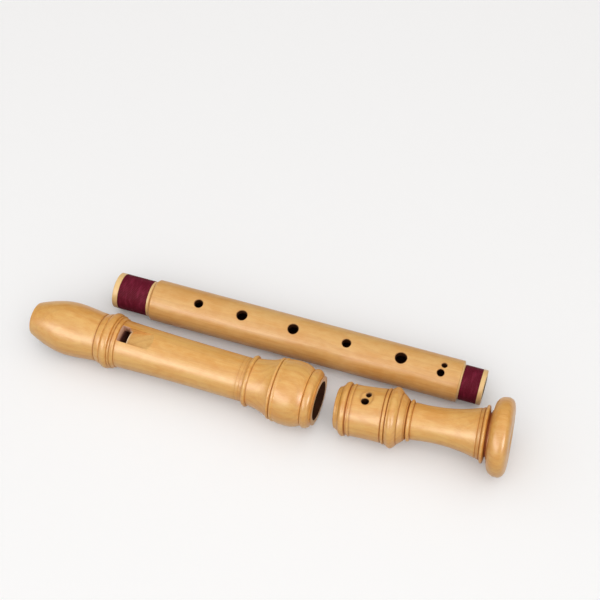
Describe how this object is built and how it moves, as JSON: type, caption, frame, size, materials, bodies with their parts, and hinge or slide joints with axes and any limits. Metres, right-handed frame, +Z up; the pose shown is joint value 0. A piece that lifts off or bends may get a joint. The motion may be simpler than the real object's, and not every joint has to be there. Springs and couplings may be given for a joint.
{
  "type": "alto recorder",
  "caption": "Wooden alto recorder taken apart: beaked head joint with its block, middle joint with finger holes and thread-lapped tenons, and a flared foot joint, laid side by side.",
  "frame": {"origin": "on the ground under the centre of the bounding box of the three sections", "axes": "+X from the beak towards the foot along the row, +Z up from the ground, the middle joint on the +Y side"},
  "size_m": [0.3046, 0.0772, 0.0469],
  "materials": {
    "fruitwood": "oiled, satin gloss, honey coloured",
    "pale_fruitwood": "oiled, satin, slightly paler",
    "cedar": "raw, matt, pinkish brown",
    "lapping_thread": "waxed burgundy thread"
  },
  "bodies": {
    "head": {"head_joint": "fruitwood"},
    "block": {"block": "cedar"},
    "middle": {"middle_joint": "pale_fruitwood", "upper_thread_lapping": "lapping_thread", "lower_thread_lapping": "lapping_thread"},
    "foot": {"foot_joint": "fruitwood"}
  },
  "joints": [
    {"name": "block_slide", "type": "slide", "parent": "head", "child": "block", "axis": [-0.9994, 0.0262, -0.0214], "range_m": [0, 0.07]},
    {"name": "middle_lift", "type": "slide", "parent": "head", "child": "middle", "axis": [0, 0, 1], "range_m": [0, 0.12]},
    {"name": "foot_lift", "type": "slide", "parent": "head", "child": "foot", "axis": [0, 0, 1], "range_m": [0, 0.12]}
  ]
}
